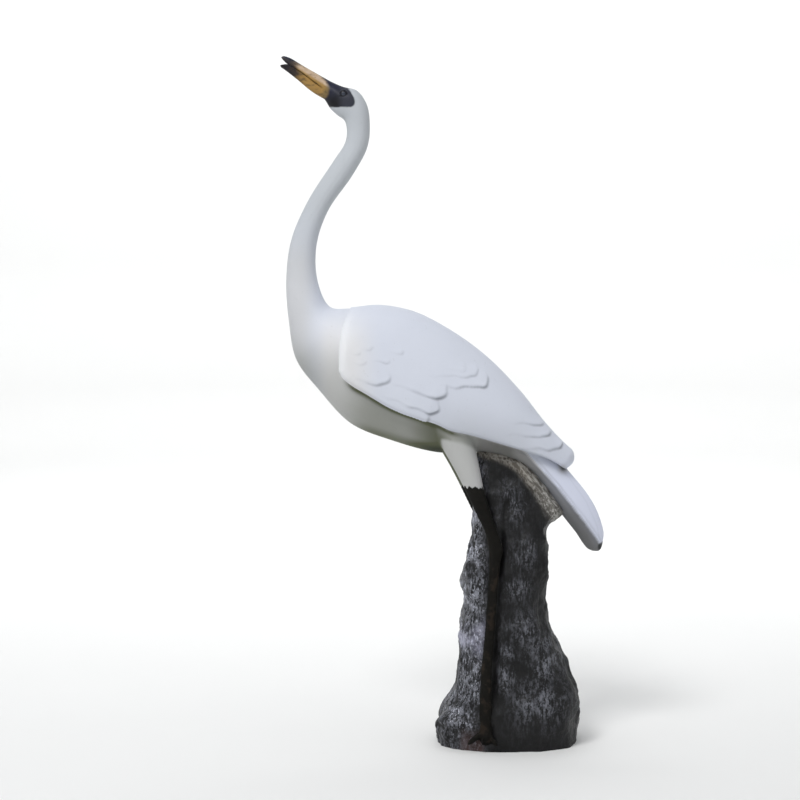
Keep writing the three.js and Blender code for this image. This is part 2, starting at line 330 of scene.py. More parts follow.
bm = bmesh.new()
corner = bm.verts.new(Vector((well_outside, -well_outside, 2 * well_outside)) * MM)
rim = [bm.verts.new((p + Vector((0, -well_outside, 0))) * MM) for p in wing_outline]
side_face = bm.faces.new([corner] + rim)
swept = bmesh.ops.extrude_face_region(bm, geom=[side_face])["geom"]
moved = [g for g in swept if isinstance(g, bmesh.types.BMVert)]
bmesh.ops.translate(bm, verts=moved, vec=(0, 2 * well_outside * MM, 0))
cutter = piece_from(bm, "wing cutter")

cut = wings.modifiers.new("cut", "BOOLEAN")
cut.operation = "INTERSECT"
cut.solver = "EXACT"
cut.object = cutter
baked(wings)
bpy.data.objects.remove(cutter)
melted(wings, voxel=0.0018, rounds=2)

# %% [markdown]
# ## Relief by moving the skin
#
# Feathers on a casting are low steps, a few millimetres high, that start from nothing at the root
# and end in a round tip. It would be slow to model each as a piece, and the melt would blur it.
# Instead the fine skin is pushed along its normals by a height that depends on the place seen
# from the side. Arrays of numbers work out all the vertices at once.

# %% Move a skin by heights
def read(piece):
    """Places in millimetres and normals of all the vertices."""
    count = len(piece.data.vertices)
    places = np.empty(count * 3)
    normals = np.empty(count * 3)
    piece.data.vertices.foreach_get("co", places)
    piece.data.vertex_normals.foreach_get("vector", normals)
    return places.reshape(-1, 3) / MM, normals.reshape(-1, 3)


def write(piece, places):
    piece.data.vertices.foreach_set("co", (places * MM).ravel())
    piece.data.update()


def spread(piece, values, rounds):
    """Each vertex's value averaged with its neighbours', a number of times."""
    ends = np.empty(len(piece.data.edges) * 2, dtype=np.int64)
    piece.data.edges.foreach_get("vertices", ends)
    one, other = ends.reshape(-1, 2).T
    neighbours = np.bincount(one, minlength=len(values)) + np.bincount(other, minlength=len(values))
    for _ in range(rounds):
        total = np.bincount(one, values[other], len(values))
        total += np.bincount(other, values[one], len(values))
        values = total / np.maximum(neighbours, 1)
    return values


def keep_as(piece, name, values):
    """Keeps a number for each vertex, for the paint to read."""
    layer = piece.data.attributes.new(name, "FLOAT", "POINT")
    layer.data.foreach_set("value", values.astype(np.float32))


def ease_in(values, low, high):
    t = np.clip((values - low) / (high - low), 0, 1)
    return t * t * (3 - 2 * t)


def distance_to(x, z, line):
    """The distance of each place from a line of points, all seen from the side."""
    nearest = np.full(len(x), 1e9)
    for p, q in zip(line[:-1], line[1:]):
        run, rise = q[0] - p[0], q[1] - p[1]
        t = np.clip(((x - p[0]) * run + (z - p[1]) * rise) / (run * run + rise * rise), 0, 1)
        nearest = np.minimum(nearest, np.hypot(x - p[0] - t * run, z - p[1] - t * rise))
    return nearest


def near(x, z, line, width):
    """1 on a line seen from the side, and hardly anything from twice the width on."""
    return np.exp(-(distance_to(x, z, line) / width) ** 2)


def near_spot(x, z, spot, width):
    return np.exp(-(np.hypot(x - spot[0], z - spot[1]) / width) ** 2)


def below(x, z, line):
    """How far each place is below a line seen from the side."""
    return np.interp(x, [p[0] for p in line], [p[1] for p in line]) - z


print("the body's skin has", len(body.data.vertices), "vertices to move")

# %% [markdown]
# The wing's edge is rolled: within a finger's width of the outline the skin turns in towards the
# body along a quarter of a circle. The feathers follow, each given by its root, its tip, half its
# width and its height: scapulars and coverts in front, flight feathers towards the wing's end.
# Light comes from above and in front, so each feather's edge casts a shadow in a strip below and
# behind it, and that shadow is painted on. The same heights, moved a little that way, tell where
# the strip lies. It is kept as `hollow_shade` for the paint, and `edge_highlight` keeps the wing's
# front edge, where a highlight is painted.

# %% Measures of the feathers
small_feathers = [
    ((-268, 710), (-240, 705), 5, 1.1), ((-290, 700), (-261, 696), 5, 1.0),
    ((-252, 690), (-210, 683), 6, 1.5), ((-222, 703), (-185, 698), 5, 1.3),
    ((-286, 685), (-253, 680), 5, 1.1),
]
coverts = [
    ((-288, 670), (-211, 651), 16, 4.0), ((-234, 670), (-114, 626), 17, 5.2),
    ((-262, 650), (-127, 601), 15, 4.6), ((-280, 638), (-143, 581), 13, 4.4),
]
scapulars = [
    ((-150, 675), (-78, 670), 9, 2.0), ((-176, 668), (-57, 662), 11, 3.2),
    ((-176, 651), (-40, 648), 14, 3.8),
]
flight_feathers = [
    ((-30, 586), (57, 571), 7, 2.8), ((-30, 565), (70, 552), 9, 3.6),
    ((-30, 541), (93, 533), 11, 4.4),
]
feathers = small_feathers + coverts + scapulars + flight_feathers
roll_at = [-288, -255, -100, 60, 110]
roll_radius = [15, 9, 7, 5, 3]
shade_shift = (-2.5, 3)
deepest_shade = 1.8
print(len(feathers), "feathers on each wing")

# %% The height of one feather
def feather_height(x, z, root, tip, half, rise):
    """How high one feather stands: nothing along its upper side, full at the lower and the tip."""
    run, drop = tip[0] - root[0], tip[1] - root[1]
    length = math.hypot(run, drop)
    along = ((x - root[0]) * run + (z - root[1]) * drop) / length
    across = ((z - root[1]) * run - (x - root[0]) * drop) / length / half
    past = np.clip((along - (length - half)) / half, 0, 2)
    inside = np.clip(1 - across ** 2 - past ** 2, 0, 1)
    shingle = np.maximum(0.5 - 0.5 * across, np.clip(past, 0, 1) * np.clip(0.4 - across, 0, 1))
    crown = np.sqrt(np.clip(inside / 0.25, 0, 1)) * shingle
    return rise * np.clip(along / length, 0, 1) ** 2.2 * crown


print("the boldest feather rises", max(feather[-1] for feather in feathers), "mm")

# %% Roll the wing's edge
places, normals = read(wings)
x, y, z = places.T
outline = [(p.x, p.z) for p in wing_outline]
roll = np.interp(x, roll_at, roll_radius)
inward = np.clip(roll - distance_to(x, z, outline), 0, None)
tuck = roll - np.sqrt(np.clip(roll ** 2 - inward ** 2, 0, None))
side = np.sign(y) * ease_in(np.abs(y), 4, 20)
places[:, 1] -= side * tuck
print("the edge turns in by up to", round(tuck.max(), 1), "mm")

# %% Raise the feathers
facing_side = ease_in(np.abs(normals[:, 1]), 0.15, 0.45)


def plumage_height(x, z):
    """All the feathers together, with edges that waver as if cut by hand."""
    wave_x = 1.6 * np.sin(x / 11 + z / 7) + 0.9 * np.sin(z / 3.7 - x / 9)
    wave_z = 1.4 * np.sin(x / 8 - z / 10 + 2) + 0.8 * np.sin(x / 4.3 + z / 6)
    height = np.zeros(len(x))
    for feather in feathers:
        height = np.maximum(height, feather_height(x + wave_x, z + wave_z, *feather))
    height *= 0.78 + 0.22 * np.sin(x / 9 + z / 13) * np.sin(z / 7 - x / 19)
    return spread(wings, height, 1) * facing_side


height = plumage_height(x, z)
places += normals * height[:, None]
write(wings, places)
# Painted shadow: where a feather's edge, moved towards the light, stands over this place.
shaded = plumage_height(x + shade_shift[0], z + shade_shift[1]) - height
keep_as(wings, "hollow_shade", np.clip(shaded / deepest_shade, 0, 1))
print("as cast, feathers rise up to", round(height.max(), 2), "mm")

# %% Painted shade and highlight on the wings
above_edge = -below(x, z, wing_lower_edge)
# Painted shade low on the wing's rear, and a painted shadow under the wing's tip.
shade_and_grime = 0.15 * ease_in(above_edge, 75, 5) * ease_in(x, -190, -60)
shade_and_grime *= 1 - 0.75 * ease_in(x, 10, 60)
shade_and_grime += 0.45 * near_spot(x, z, (92, 489), 6)
keep_as(wings, "shade_and_grime", shade_and_grime)
# A painted highlight along the rolled front edge of the wing.
front_edge = [(p.x, p.z) for p in traced(wing_front_edge, 6)] + wing_lower_edge[:2]
keep_as(wings, "edge_highlight", near(x, z, front_edge, 12) * ease_in(z, 780, 725))
print("the wings' dirtiest place has", round(shade_and_grime.max(), 2), "of full dirt")

# %% [markdown]
# The body gets less: a crisp fold along the tail, two faint lines on it where feathers meet, and
# rings of scales on the shins.

# %% Measures of the body's relief
tail_lines = [
    [(60, 520), (104, 470), (134, 428), (154, 384), (160, 352)],
    [(46, 506), (88, 456), (118, 414), (142, 368), (152, 348)],
]
tail_fold = [
    (-10, 550), (16, 524), (32, 511), (57, 483), (83, 455), (105, 427), (126, 400), (149, 368),
    (162, 348), (172, 336),
]
fold_rise, fold_width = 1.4, 3
line_depth, line_width = 0.2, 1.8
scale_height, scale_spacing = 0.22, 7
deepest_hollow = 0.6
print(len(tail_lines), "lines on the tail, and scales every", scale_spacing, "mm")

# %% Press the relief into the body
places, normals = read(body)
x, y, z = places.T
on_tail = ease_in(x, 15, 45) * ease_in(np.abs(y), 4, 12)
height = fold_rise * near(x, z, tail_fold, fold_width) * on_tail
for line in tail_lines:
    height -= line_depth * near(x, z, line, line_width) * on_tail
shin = ease_in(z, 470, 440) * ease_in(x, 20, 10)
height += shin * scale_height * np.sin(z * 2 * math.pi / scale_spacing)
places += normals * height[:, None]
write(body, places)
# Painted shade in the tail's lines and between the rings of scales.
hollow_shade = spread(body, height, 3) - height
keep_as(body, "hollow_shade", np.clip(hollow_shade / deepest_hollow, 0, 1))
print("relief from", round(height.min(), 2), "to", round(height.max(), 2), "mm")

# %% [markdown]
# Shade is painted beneath the wings, on the belly, above and behind the thighs, and on the
# underside of the tail, with some grime on the belly; the outer faces of the thighs are painted
# lighter, as if lit. Each vertex keeps a share of painted shade and grime for the paint to read.
# Shares above 1 mean the deepest painted shade, in the crease under the wing and along the lowest
# line of the belly.

# %% Measures of the painted shade
wing_end = [(84, 495), (99, 484), (121, 478)]
leg_axis = [(-96, 540), (-88, 520), (-75, 487), (-64, 456)]
thigh_top = [(-112, 543), (-105, 541), (-88, 538), (-71, 531), (-60, 522), (-54, 514)]
thigh_heights, thigh_halves = [456, 487, 520, 540], [17, 22, 25, 23]
# How far the painted shadow below the wing reaches, in millimetres.
shade_reach = 17
thigh_shade = 0.40
tail_shade_base, more_low_down = 0.72, 0.14
crease_width, crease_shade = 6, 0.5
keel_shade, more_at_rear = 0.24, 0.18
print("grime fades over", shade_reach, "mm below the wing")

# %% Painted shade and grime on the body
lower_line = [(p.x, p.z) for p in traced(wing_lower_edge, 5)] + wing_end[1:]
under_wing = below(x, z, lower_line)
is_under = ease_in(under_wing, -1, 3)
# A painted shadow below the wing's lower edge.
near_wing = np.exp(-np.clip(under_wing, 0, None) / shade_reach) * ease_in(x, -294, -272)
# Painted shade on faces that turn down, with some grime, stronger towards the rear.
belly = ease_in(normals[:, 2], 0.30, -0.5)
belly *= 0.36 + 0.30 * ease_in(x, -325, -240) + 0.34 * ease_in(x, -190, -120)
belly *= ease_in(z, 780, 680) * (1 - 0.75 * ease_in(x, -90, -40))
shade_and_grime = np.maximum(belly, near_wing * (1 - 0.2 * ease_in(x, -105, -80)))
# Painted shade above and behind the thighs, between them and the tail.
beside_thigh = 0.64 + 0.12 * ease_in(x, -66, -50) + 0.10 * ease_in(x, -50, -20)
shade_and_grime = np.maximum(shade_and_grime, beside_thigh * ease_in(x, -114, -98) * ease_in(x, 60, 20))

# The thighs' outer faces keep less painted shade, as if lit.
thigh_reach = np.interp(z, thigh_heights, thigh_halves)
thigh = ease_in(distance_to(x, z, leg_axis), thigh_reach + 4, thigh_reach - 1)
thigh *= ease_in(below(x, z, thigh_top), -1.5, 2)
thigh *= ease_in(np.sign(y) * normals[:, 1], -0.3, 0.2)
shade_and_grime = shade_and_grime * (1 - thigh) + thigh_shade * thigh

# Painted shade under the tail's fold, and a painted shadow line below the wing's edge above it.
under_tail = ease_in(below(x, z, tail_fold), -1.2, 1.2) * ease_in(x, -5, 15)
above_fold = (1 - under_tail) * ease_in(x, 15, 25)
shade_and_grime = shade_and_grime * (1 - above_fold) + 0.6 * above_fold * np.exp(-np.abs(under_wing) / 2)
shade_and_grime *= np.maximum(is_under, ease_in(x, -284, -300))
tail_shade = tail_shade_base + more_low_down * ease_in(z, 460, 400)
shade_and_grime = shade_and_grime * (1 - under_tail) + tail_shade * under_tail
# A painted shadow under the wing's tip.
wing_tip_shadow = near_spot(x, z, (94, 487), 8) * above_fold
shade_and_grime = np.clip(shade_and_grime + 0.9 * wing_tip_shadow, 0, 1)

# The deepest painted shade, in the crease under the wing and along the keel of the belly.
in_crease = np.exp(-(under_wing / crease_width) ** 2)
shade_and_grime += crease_shade * in_crease * ease_in(x, -297, -270) * ease_in(x, -75, -115)
keel = ease_in(normals[:, 2], -0.62, -0.86) * ease_in(x, -300, -240) * ease_in(x, -90, -130)
shade_and_grime += keel * (keel_shade + more_at_rear * ease_in(x, -200, -135))
keep_as(body, "shade_and_grime", spread(body, shade_and_grime, 1))
print("the body is clean on", round(100 * (shade_and_grime < 0.1).mean()), "% of its points")

# %% [markdown]
# ## The beak and the eyes
#
# The two halves of the beak end in points 3 to 4 mm thick, too thin for the melt, so they stay
# forms of their own. They part a little at the tip. The eye is a low dome in a raised ring of
# skin; a full `spin` of a small round gives the ring.

# %% Form the beak
upper_beak_sections = [
    Section((-298, 1149), (-308, 1132), 12),
    Section((-328, 1166), (-336, 1152), 10.5),
    Section((-358, 1183), (-364, 1173), 7.5),
    Section((-382, 1197), (-387, 1187), 4.5),
    Section((-395, 1201), (-397, 1197), 2),
]
lower_beak_sections = [
    Section((-301, 1132), (-309, 1119), 11),
    Section((-336, 1153), (-343, 1138.5), 9.5),
    Section((-363, 1173), (-370, 1160.5), 7),
    Section((-386, 1186), (-390, 1176), 4),
    Section((-398, 1185), (-399, 1182), 2),
]
bm = bmesh.new()
loft(bm, upper_beak_sections, around=48, along=72, caps=(0.1, 0.08), edge=0.85)
upper_beak = piece_from(bm, "upper_beak")
bm = bmesh.new()
loft(bm, lower_beak_sections, around=48, along=72, caps=(0.1, 0.08), edge=0.15)
lower_beak = piece_from(bm, "lower_beak")
for half in (upper_beak, lower_beak):
    keep_as(half, "hollow_shade", np.zeros(len(half.data.vertices)))
    keep_as(half, "shade_and_grime", np.zeros(len(half.data.vertices)))
print("beak halves", len(upper_beak.data.vertices), len(lower_beak.data.vertices))

# %% Set the eyes
eye_place = Vector((-289, -19.4, 1134.5)) * MM
eye_radius = 5.6 * MM
lid_radius = 1.3 * MM
lid_gap = 0.7 * MM
bm = bmesh.new()
dome = bmesh.ops.create_uvsphere(bm, u_segments=32, v_segments=20, radius=eye_radius)["verts"]
bmesh.ops.scale(bm, verts=dome, vec=(1, 0.5, 1))
lid = bmesh.ops.create_circle(bm, segments=12, radius=lid_radius)["verts"]
bmesh.ops.translate(bm, verts=lid, vec=(eye_radius + lid_gap, 0, 0))
lid_edges = list({edge for vert in lid for edge in vert.link_edges})
bmesh.ops.spin(
    bm, geom=lid + lid_edges, cent=(0, 0, 0), axis=(0, 1, 0), angle=2 * math.pi, steps=40,
    use_merge=True,
)
bmesh.ops.translate(bm, verts=bm.verts, vec=eye_place)
bmesh.ops.mirror(bm, geom=bm.verts[:] + bm.edges[:] + bm.faces[:], axis="Y", merge_dist=0)
eyes = piece_from(bm, "eyes")
print("eyes", len(eyes.data.vertices), "vertices")

# %% [markdown]
# ## The rock
#
# The pillar flares to a foot and slopes at the top to carry the tail. It starts as the same kind
# of form as the body, with boulders set into it, and folded waves push it in and out. After the
# melt, noise adds the smaller crags: ridges that run upwards like bark, then lumps, then grain.

# %% Rock measures
rock_sections = [
    Section((120, -30), (-122, -30), 92),
    Section((125, 30), (-127, 30), 94),
    Section((124, 68), (-113, 68), 88),
    Section((118, 104), (-94, 104), 80),
    Section((100, 150), (-90, 150), 72),
    Section((74, 205), (-89, 205), 66),
    Section((66, 250), (-81, 250), 62),
    Section((67, 295), (-84, 295), 61),
    Section((71, 335), (-74, 335), 58),
    Section((70, 382), (-67, 385), 55),
    Section((93, 410), (-66, 440), 49),
    Section((78, 436), (-66, 488), 44),
    Section((46, 480), (-54, 516), 35),
    Section((20, 508), (-40, 530), 22),
]
boulders = [
    ((-86, -36, 34), (42, 46, 36)), ((80, -34, 76), (44, 46, 54)), ((28, -58, 50), (50, 36, 60)),
    ((66, 44, 64), (54, 44, 66)), ((-84, 30, 38), (40, 38, 40)), ((-48, -18, 290), (36, 42, 54)),
    ((30, -24, 330), (38, 36, 90)),
]
crag_waves = [
    (Vector((0.9, 0.5, 0.25)), 62, 1), (Vector((-0.3, 0.7, 0.9)), 47, 0.8),
    (Vector((0.6, -0.9, 0.5)), 29, 0.5),
]
crag_depth = 4.5
print(len(rock_sections), "rock sections and", len(boulders), "boulders")


# %% Pile up the rock
def crag(place):
    """Folded waves added up, from -1 to 1."""
    total = sum(
        share * (1 - 2 * abs(math.sin(place.dot(way) / length * math.pi)))
        for way, length, share in crag_waves
    )
    return total / sum(share for way, length, share in crag_waves)


bm = bmesh.new()
loft(bm, rock_sections, around=120, along=150, caps=(0.02, 0.1), fullness=2.5)
for place, size in boulders:
    stone = bmesh.ops.create_icosphere(bm, subdivisions=4, radius=1)["verts"]
    bmesh.ops.scale(bm, verts=stone, vec=Vector(size) * MM)
    bmesh.ops.translate(bm, verts=stone, vec=Vector(place) * MM)
for vert in bm.verts:
    outward = Vector((vert.co.x, vert.co.y, 0)).normalized()
    vert.co += outward * crag(vert.co / MM) * crag_depth * MM
rock = melted(piece_from(bm, "rock"), voxel=0.002, rounds=3)

# %% Measures of the crags
hood_points = [(-54, 515), (-8, 505), (20, 488), (46, 458), (66, 430), (82, 404)]
hood = [(p.x, p.z) for p in traced(hood_points, 4)]
ledge = [(-124, 36), (-104, 34), (-86, 37)]
beside_leg = [(-6, 430), (-16, 380), (-20, 300), (-26, 190), (-32, 100), (-36, 20)]
dark_side = [(50, 385), (52, 330), (50, 260), (56, 215)]
troughs = [(ledge, 5, 8), (beside_leg, 5, 7), (dark_side, 2, 9)]
vein = [(-30, 511), (11, 505), (26, 490), (40, 473), (51, 459), (61, 444), (82, 421)]
brim_rise = 2.6
groove_shift, groove_depth, groove_width = (-22, -24), 4, 12
lowest, highest = -10, 5
bark_length, bark_depth = 34, 1.5
lump_length, lump_depth = 20, 1.2
grain_length, grain_depth = 4.2, 0.45
masses = [
    (5, 430, 26, 36, 3), (30, 340, 26, 30, 4), (14, 280, 26, 22, 2.5), (30, 212, 27, 30, 3),
    (62, 160, 34, 42, 4), (-10, 150, 16, 60, 2), (52, 85, 44, 36, 4), (-70, 400, 15, 26, 2),
    (-68, 340, 20, 24, 3), (-68, 267, 18, 20, 2), (-68, 190, 24, 26, 4), (-66, 128, 26, 34, 2),
    (-94, 66, 34, 30, 3),
]
print(len(masses), "masses stand forward, with", len(troughs), "troughs between them")


# %% The height of the small crags
def crag_height(place):
    """How far out the rock's skin goes at a place in millimetres."""
    bark = Vector((place.x, place.y, place.z * 0.45)) / bark_length
    ridges = noise.ridged_multi_fractal(bark, 1.0, 2.1, 3, 1.0, 2.0) - 1.3
    lumps = noise.fractal(place / lump_length, 0.9, 2.0, 3)
    grain = noise.noise(place / grain_length)
    return bark_depth * ridges + lump_depth * lumps + grain_depth * grain


print("one crag at the foot stands", round(crag_height(Vector((0, -90, 30))), 1), "mm")

# %% Carve the rock's crags
places, normals = read(rock)
x, y, z = places.T
height = np.array([crag_height(Vector(p)) for p in places])
in_front = ease_in(-normals[:, 1], 0.0, 0.4)
silver = np.zeros(len(x))
for mass_x, mass_z, half, tall, rise in masses:
    bulge = np.exp(-((x - mass_x) / half) ** 2 - ((z - mass_z) / tall) ** 2)
    height += rise * bulge * in_front
    silver = np.maximum(silver, bulge)
brim = near(x, z, hood, np.interp(x, [-50, 20, 80], [9, 14, 18]))
height += brim_rise * brim * (np.abs(normals[:, 1]) > 0.2)
under_hood = [(p + groove_shift[0], q + groove_shift[1]) for p, q in hood[4:-4]]
height -= groove_depth * near(x, z, under_hood, groove_width)
for line, depth, width in troughs:
    trough = near(x, z, line, width)
    height -= depth * trough * in_front
    silver *= 1 - 0.9 * trough
height = np.clip(height, lowest, highest)
places += normals * height[:, None]
write(rock, places)
print("crags from", round(height.min(), 1), "to", round(height.max(), 1), "mm")

# %% Keep four numbers for the rock's paint
# The dips between the ridges, kept for painted shade.
hollow_shade = spread(rock, height, 6) - height
keep_as(rock, "hollow_shade", np.clip(0.5 + hollow_shade / 3, 0, 1))
behind = ease_in(y, -20, 20)
keep_as(rock, "silver", silver * (1 - behind) + 0.4 * behind)
keep_as(rock, "brim", brim)
from_vein = distance_to(x, z, vein)
keep_as(rock, "vein", np.exp(-from_vein ** 2) + 0.6 * np.exp(-((from_vein - 5.5) / 1.2) ** 2))
print("numbers kept for", len(x), "places on the rock")

# %% Cut the underside flat
bm = bmesh.new()
bm.from_mesh(rock.data)
cut = bmesh.ops.bisect_plane(
    bm, geom=bm.verts[:] + bm.edges[:] + bm.faces[:], plane_co=(0, 0, 0), plane_no=(0, 0, 1),
    clear_inner=True,
)
open_edges = [g for g in cut["geom_cut"] if isinstance(g, bmesh.types.BMEdge)]
for face in bmesh.ops.holes_fill(bm, edges=open_edges)["faces"]:
    face.smooth = False
bm.to_mesh(rock.data)
bm.free()
print("the rock has", sum(len(f.vertices) - 2 for f in rock.data.polygons), "triangles")

# %% [markdown]
# ## A way to write shaders
#
# A paint is easier to read as sums than as a web of nodes. `Wire` wraps a node's output, so that
# `1 - mask` or `grime * 0.5` adds the Math node by itself. `Finish.add` makes any other node:
# first its settings, then its inputs.

# %% Wires that can be added up
class Wire:
    """The output of a node; signs of arithmetic on it add Math nodes."""

    def __init__(self, finish, socket):
        self.finish = finish
        self.socket = socket

    def math(self, operation, first, second=0.0):
        return self.finish.add("Math", {"operation": operation}, {0: first, 1: second})

    def __add__(self, other):
        return self.math("ADD", self, other)

    __radd__ = __add__

    def __sub__(self, other):
        return self.math("SUBTRACT", self, other)

    def __rsub__(self, other):
        return self.math("SUBTRACT", other, self)

    def __mul__(self, other):
        return self.math("MULTIPLY", self, other)

    __rmul__ = __mul__

    def __pow__(self, other):
        return self.math("POWER", self, other)


print("wires take +, -, * and **")


# %% A finish built node by node
class Finish:
    """A material built up node by node."""

    def __init__(self, name):
        self.material = bpy.data.materials.new(name)
        self.material.use_nodes = True
        self.tree = self.material.node_tree
        self.tree.nodes.clear()

    def add(self, kind, settings=None, inputs=None, output=0):
        node = self.tree.nodes.new("ShaderNode" + kind)
        for key, value in (settings or {}).items():
            setattr(node, key, value)
        for key, value in (inputs or {}).items():
            if isinstance(value, Wire):
                self.tree.links.new(value.socket, node.inputs[key])
            else:
                node.inputs[key].default_value = value
        return Wire(self, node.outputs[output])

    def places(self):
        return self.add("TexCoord", output="Object")

    def axes(self, vector):
        apart = self.add("SeparateXYZ", inputs={0: vector})
        outputs = apart.socket.node.outputs
        return [Wire(self, outputs[i]) for i in range(3)]

    def rises(self, value, low, high):
        """0 below low, 1 above high, smooth between."""
        settings = {"interpolation_type": "SMOOTHSTEP"}
        inputs = {"Value": value, "From Min": low, "From Max": high}
        if low > high:
            inputs.update({"From Min": high, "From Max": low})
            return 1 - self.add("MapRange", settings, inputs)
        return self.add("MapRange", settings, inputs)

    def noise(self, vector, scale, detail=3.0, roughness=0.55):
        inputs = {"Vector": vector, "Scale": scale, "Detail": detail, "Roughness": roughness}
        return self.add("TexNoise", None, inputs)

    def stretched(self, vector, scale):
        return self.add("Mapping", None, {"Vector": vector, "Scale": scale})

    def kept(self, name):
        return self.add("Attribute", {"attribute_name": name}, output="Fac")

    def blend(self, mask, first, second):
        return self.add("Mix", {"data_type": "RGBA"}, {0: mask, 6: first, 7: second}, output=2)

    def finish(self, **inputs):
        bump = inputs.pop("bump", None)
        if bump is not None:
            distance = inputs.pop("bump_depth")
            strength = {"Strength": 1.0, "Distance": distance, "Height": bump}
            inputs["Normal"] = self.add("Bump", None, strength)
        named = {key.replace("_", " "): value for key, value in inputs.items()}
        shader = self.add("BsdfPrincipled", None, named)
        self.add_output(shader)
        return self.material

    def add_output(self, shader):
        output = self.tree.nodes.new("ShaderNodeOutputMaterial")
        self.tree.links.new(shader.socket, output.inputs[0])


print("a finish is built node by node")


# %% Colours from screen values
def shade(red, green, blue):
    """A colour from its screen values, 0 to 255."""
    def linear(value):
        share = value / 255
        return share / 12.92 if share <= 0.04045 else ((share + 0.055) / 1.055) ** 2.4
    return (linear(red), linear(green), linear(blue), 1.0)


print("mid grey is", round(shade(128, 128, 128)[0], 3))

# %% [markdown]
# ## The bird's paint
#
# One set of brushes painted the whole bird. All of it is placed by where a point is on the bird,
# so the pieces share one paint and the borders run across them. The plumage is white with a cold
# tint and greyer up the neck. Shade is painted on the undersides, with some grime, and shadow is
# painted in the steps of the feathers; a painted highlight runs along the wing's front edge, and
# there is a dark spot at the tip of the tail.

# %% Lay out the bird's brushes
paint = Finish("bird paint")
place = paint.places()
x, y, z = paint.axes(place)
hollow_shade = paint.kept("hollow_shade")
shade_and_grime = paint.kept("shade_and_grime")
cloud = paint.noise(place, 9.0, 4.0)
fleck = paint.noise(place, 160.0, 3.0)
brush = paint.noise(paint.stretched(place, (40, 40, 160)), 1.0, 3.0)
wave = (paint.noise(place, 90.0, 2.0) - 0.5) * 0.004
print("the bird's brushes take", len(paint.tree.nodes), "nodes")

# %% Paint the plumage
cold = paint.blend(cloud, shade(198, 204, 219), shade(206, 211, 224))
breast = paint.rises(x, -0.318, -0.365) * paint.rises(z, 0.94, 0.84)
beside_wing = paint.rises(x, -0.36, -0.31) * paint.rises(z, 0.80, 0.70)
plumage = paint.blend(beside_wing * 0.85, cold, shade(219, 218, 218))
wing_white = paint.blend(cloud, shade(202, 206, 218), shade(209, 213, 223))
on_wing = paint.rises(x, -0.28, -0.22) * paint.rises(shade_and_grime, 0.34, 0.20)
plumage = paint.blend(on_wing, plumage, wing_white)
plumage = paint.blend(breast * 0.8, plumage, shade(196, 196, 197))
on_tail = paint.rises(x, 0.0, 0.08) * paint.rises(z, 0.52, 0.46)
plumage = paint.blend(on_tail, plumage, shade(212, 216, 232))
neck = paint.rises(z, 0.78, 0.96)
plumage = paint.blend(neck * 0.9, plumage, shade(179, 183, 187))
crown = paint.rises(x * -0.6 + z * 0.8, 1.085, 1.125)
plumage = paint.blend(crown * 0.85, plumage, shade(126, 129, 142))
print("with the plumage there are", len(paint.tree.nodes), "nodes")

# %% Paint highlight, shade and grime onto the plumage
tail_tip = (0.1625, 0.347)
# A painted highlight along the wing's front edge.
plumage = paint.blend(paint.kept("edge_highlight") * 0.7, plumage, shade(232, 234, 237))
# The colour of painted shade with some grime; its olive tint is a painted reflection of green light
# from below.
soil_and_shade = paint.blend(cloud, shade(83, 86, 66), shade(101, 105, 85))
soil_and_shade = paint.blend(paint.rises(x, -0.075, -0.045), soil_and_shade, shade(91, 90, 85))
soil_and_shade = paint.blend(paint.rises(shade_and_grime, 1.0, 1.5), soil_and_shade, shade(55, 60, 50))
# Painted shade and some grime darken the plumage by the kept share.
plumage = paint.blend(shade_and_grime * (0.85 + cloud * 0.3), plumage, soil_and_shade)
# Painted shadow below the feathers' edges, and painted shade in the tail's lines.
plumage = paint.blend(hollow_shade * 0.62, plumage, shade(106, 110, 120))
plumage = paint.blend(paint.rises(fleck, 0.62, 0.78) * 0.10, plumage, shade(120, 118, 105))
from_tip = ((x - tail_tip[0]) ** 2 + (z - tail_tip[1]) ** 2) ** 0.5
spot = paint.rises(from_tip + wave, 0.0092, 0.0050)
plumage = paint.blend(spot * 0.9, plumage, shade(38, 40, 38))
print("with dirt there are", len(paint.tree.nodes), "nodes")

# %% [markdown]
# The black of the legs ends in a ragged edge on the thighs, about 1 cm lower on the far one, and
# has a little rust on the shins. A slate mask goes round the eye, lighter on the cheek.

# %% Paint the legs
jag = paint.noise(paint.stretched(place, (150, 150, 12)), 1.0, 1.0)
far = paint.rises(y, -0.01, 0.01)
leg = paint.rises(z + jag * 0.022 + far * 0.011, 0.4715, 0.4695)
leg = leg * paint.rises(x, 0.022, 0.018)
black = paint.blend(brush, shade(9, 9, 8), shade(24, 22, 18))
rust = paint.rises(paint.noise(place, 60.0, 3.0), 0.52, 0.66) * paint.rises(z, 0.40, 0.28)
black = paint.blend(rust * 0.6, black, shade(46, 38, 31))
colour = paint.blend(leg, plumage, black)
print("with the legs there are", len(paint.tree.nodes), "nodes")

# %% Paint the mask
beside_crown = paint.rises(x * 0.768 + z * 0.640 + wave, 0.5225, 0.5075)
behind_eye = paint.rises(x + wave, -0.2625, -0.2785)
above_throat = paint.rises(z + wave, 1.1055, 1.1215)
mask = paint.rises(beside_crown * behind_eye * above_throat, 0.22, 0.50)
upper = paint.rises(z - x * 0.35, 1.225, 1.255)
slate = paint.blend(upper, shade(27, 27, 30), shade(36, 38, 54))
cheek = paint.rises(x, -0.303, -0.285)
slate = paint.blend(cheek * 0.8, slate, shade(56, 58, 68))
colour = paint.blend(mask, colour, slate)
print("with the mask there are", len(paint.tree.nodes), "nodes")

# %% [markdown]
# The beak is cream above and ochre below, streaked with dirt, and has a dark tip that reaches
# further back on the lower half.

